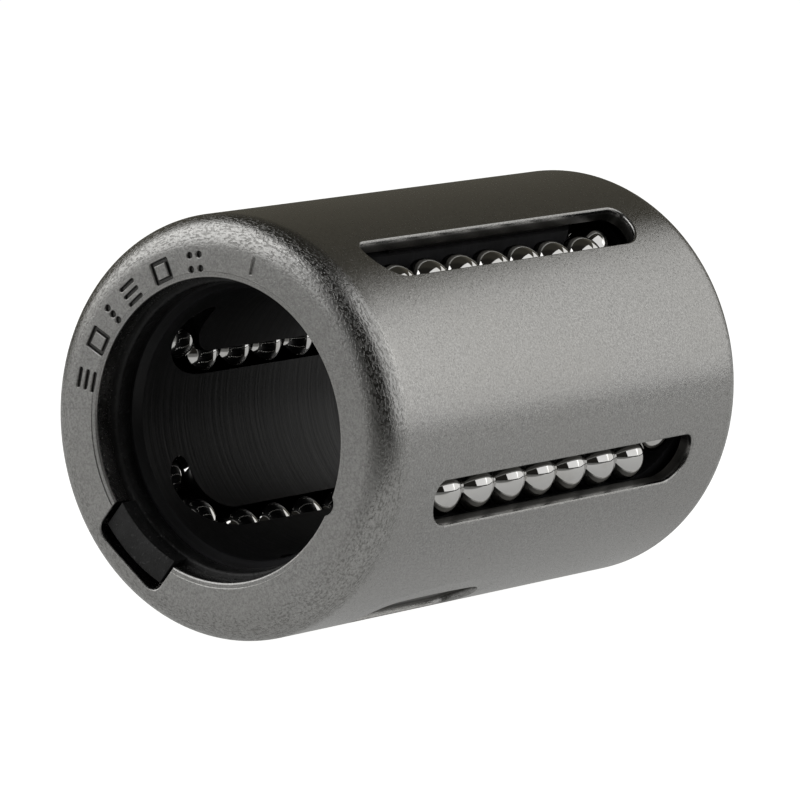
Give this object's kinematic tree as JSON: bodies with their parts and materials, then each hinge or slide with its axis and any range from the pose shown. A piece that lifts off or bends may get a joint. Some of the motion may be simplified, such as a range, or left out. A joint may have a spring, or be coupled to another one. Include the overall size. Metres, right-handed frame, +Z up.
{
  "type": "linear ball bushing",
  "caption": "Compact closed linear ball bushing: a drawn steel sleeve round a moulded cage, with recirculating balls that run along a plain round shaft.",
  "frame": {"origin": "centre of the bushing, on the shaft axis", "axes": "+Y along the shaft axis, from the marked end face at -Y to the plain end face at +Y; +Z up as the bushing lies on its side"},
  "size_m": [0.019, 0.028, 0.019],
  "materials": {
    "sleeve_steel": "satin, tumbled",
    "cage_plastic": "satin moulded",
    "ring_plastic": "satin moulded",
    "ball_steel": "polished"
  },
  "bodies": {
    "housing": {"outer_sleeve": "sleeve_steel", "ball_cage": "cage_plastic", "front_end_ring": "ring_plastic", "rear_end_ring": "ring_plastic"},
    "load_row_1": {"load_balls_1": "ball_steel"},
    "return_row_1": {"return_balls_1": "ball_steel"},
    "front_turn_1": {"front_turn_balls_1": "ball_steel"},
    "rear_turn_1": {"rear_turn_balls_1": "ball_steel"},
    "load_row_2": {"load_balls_2": "ball_steel"},
    "return_row_2": {"return_balls_2": "ball_steel"},
    "front_turn_2": {"front_turn_balls_2": "ball_steel"},
    "rear_turn_2": {"rear_turn_balls_2": "ball_steel"},
    "load_row_3": {"load_balls_3": "ball_steel"},
    "return_row_3": {"return_balls_3": "ball_steel"},
    "front_turn_3": {"front_turn_balls_3": "ball_steel"},
    "rear_turn_3": {"rear_turn_balls_3": "ball_steel"},
    "load_row_4": {"load_balls_4": "ball_steel"},
    "return_row_4": {"return_balls_4": "ball_steel"},
    "front_turn_4": {"front_turn_balls_4": "ball_steel"},
    "rear_turn_4": {"rear_turn_balls_4": "ball_steel"},
    "load_row_5": {"load_balls_5": "ball_steel"},
    "return_row_5": {"return_balls_5": "ball_steel"},
    "front_turn_5": {"front_turn_balls_5": "ball_steel"},
    "rear_turn_5": {"rear_turn_balls_5": "ball_steel"}
  },
  "joints": [
    {"name": "load_travel_1", "type": "slide", "parent": "housing", "child": "load_row_1", "axis": [0, 1, 0], "range_m": [-0.00025, 0.00215]},
    {"name": "return_travel_1", "type": "slide", "parent": "housing", "child": "return_row_1", "axis": [0, 1, 0], "range_m": [-0.00215, 0.00025]},
    {"name": "front_turn_travel_1", "type": "hinge", "parent": "housing", "child": "front_turn_1", "pos_m": [0.00251, -0.0072, 0.00658], "axis": [0.2472, 0, 0.969], "range_deg": [-53.75, 6.25]},
    {"name": "rear_turn_travel_1", "type": "hinge", "parent": "housing", "child": "rear_turn_1", "pos_m": [0.00251, 0.0072, 0.00658], "axis": [0.2472, 0, 0.969], "range_deg": [-53.75, 6.25]},
    {"name": "load_travel_2", "type": "slide", "parent": "housing", "child": "load_row_2", "axis": [0, 1, 0], "range_m": [-0.00025, 0.00215]},
    {"name": "return_travel_2", "type": "slide", "parent": "housing", "child": "return_row_2", "axis": [0, 1, 0], "range_m": [-0.00215, 0.00025]},
    {"name": "front_turn_travel_2", "type": "hinge", "parent": "housing", "child": "front_turn_2", "pos_m": [0.00703, -0.0072, -0.00035], "axis": [0.9979, 0, 0.0643], "range_deg": [-53.75, 6.25]},
    {"name": "rear_turn_travel_2", "type": "hinge", "parent": "housing", "child": "rear_turn_2", "pos_m": [0.00703, 0.0072, -0.00035], "axis": [0.9979, 0, 0.0643], "range_deg": [-53.75, 6.25]},
    {"name": "load_travel_3", "type": "slide", "parent": "housing", "child": "load_row_3", "axis": [0, 1, 0], "range_m": [-0.00025, 0.00215]},
    {"name": "return_travel_3", "type": "slide", "parent": "housing", "child": "return_row_3", "axis": [0, 1, 0], "range_m": [-0.00215, 0.00025]},
    {"name": "front_turn_travel_3", "type": "hinge", "parent": "housing", "child": "front_turn_3", "pos_m": [0.00184, -0.0072, -0.0068], "axis": [0.3696, 0, -0.9292], "range_deg": [-53.75, 6.25]},
    {"name": "rear_turn_travel_3", "type": "hinge", "parent": "housing", "child": "rear_turn_3", "pos_m": [0.00184, 0.0072, -0.0068], "axis": [0.3696, 0, -0.9292], "range_deg": [-53.75, 6.25]},
    {"name": "load_travel_4", "type": "slide", "parent": "housing", "child": "load_row_4", "axis": [0, 1, 0], "range_m": [-0.00025, 0.00215]},
    {"name": "return_travel_4", "type": "slide", "parent": "housing", "child": "return_row_4", "axis": [0, 1, 0], "range_m": [-0.00215, 0.00025]},
    {"name": "front_turn_travel_4", "type": "hinge", "parent": "housing", "child": "front_turn_4", "pos_m": [-0.0059, -0.0072, -0.00385], "axis": [-0.7695, 0, -0.6386], "range_deg": [-53.75, 6.25]},
    {"name": "rear_turn_travel_4", "type": "hinge", "parent": "housing", "child": "rear_turn_4", "pos_m": [-0.0059, 0.0072, -0.00385], "axis": [-0.7695, 0, -0.6386], "range_deg": [-53.75, 6.25]},
    {"name": "load_travel_5", "type": "slide", "parent": "housing", "child": "load_row_5", "axis": [0, 1, 0], "range_m": [-0.00025, 0.00215]},
    {"name": "return_travel_5", "type": "slide", "parent": "housing", "child": "return_row_5", "axis": [0, 1, 0], "range_m": [-0.00215, 0.00025]},
    {"name": "front_turn_travel_5", "type": "hinge", "parent": "housing", "child": "front_turn_5", "pos_m": [-0.00548, -0.0072, 0.00442], "axis": [-0.8452, 0, 0.5345], "range_deg": [-53.75, 6.25]},
    {"name": "rear_turn_travel_5", "type": "hinge", "parent": "housing", "child": "rear_turn_5", "pos_m": [-0.00548, 0.0072, 0.00442], "axis": [-0.8452, 0, 0.5345], "range_deg": [-53.75, 6.25]}
  ],
  "couplings": [
    {"joint": "return_travel_1", "follows": "load_travel_1", "ratio": -1},
    {"joint": "front_turn_travel_1", "follows": "load_travel_1", "rad_per_m": -436.33},
    {"joint": "rear_turn_travel_1", "follows": "load_travel_1", "rad_per_m": -436.33},
    {"joint": "return_travel_2", "follows": "load_travel_2", "ratio": -1},
    {"joint": "front_turn_travel_2", "follows": "load_travel_2", "rad_per_m": -436.33},
    {"joint": "rear_turn_travel_2", "follows": "load_travel_2", "rad_per_m": -436.33},
    {"joint": "return_travel_3", "follows": "load_travel_3", "ratio": -1},
    {"joint": "front_turn_travel_3", "follows": "load_travel_3", "rad_per_m": -436.33},
    {"joint": "rear_turn_travel_3", "follows": "load_travel_3", "rad_per_m": -436.33},
    {"joint": "return_travel_4", "follows": "load_travel_4", "ratio": -1},
    {"joint": "front_turn_travel_4", "follows": "load_travel_4", "rad_per_m": -436.33},
    {"joint": "rear_turn_travel_4", "follows": "load_travel_4", "rad_per_m": -436.33},
    {"joint": "return_travel_5", "follows": "load_travel_5", "ratio": -1},
    {"joint": "front_turn_travel_5", "follows": "load_travel_5", "rad_per_m": -436.33},
    {"joint": "rear_turn_travel_5", "follows": "load_travel_5", "rad_per_m": -436.33}
  ]
}
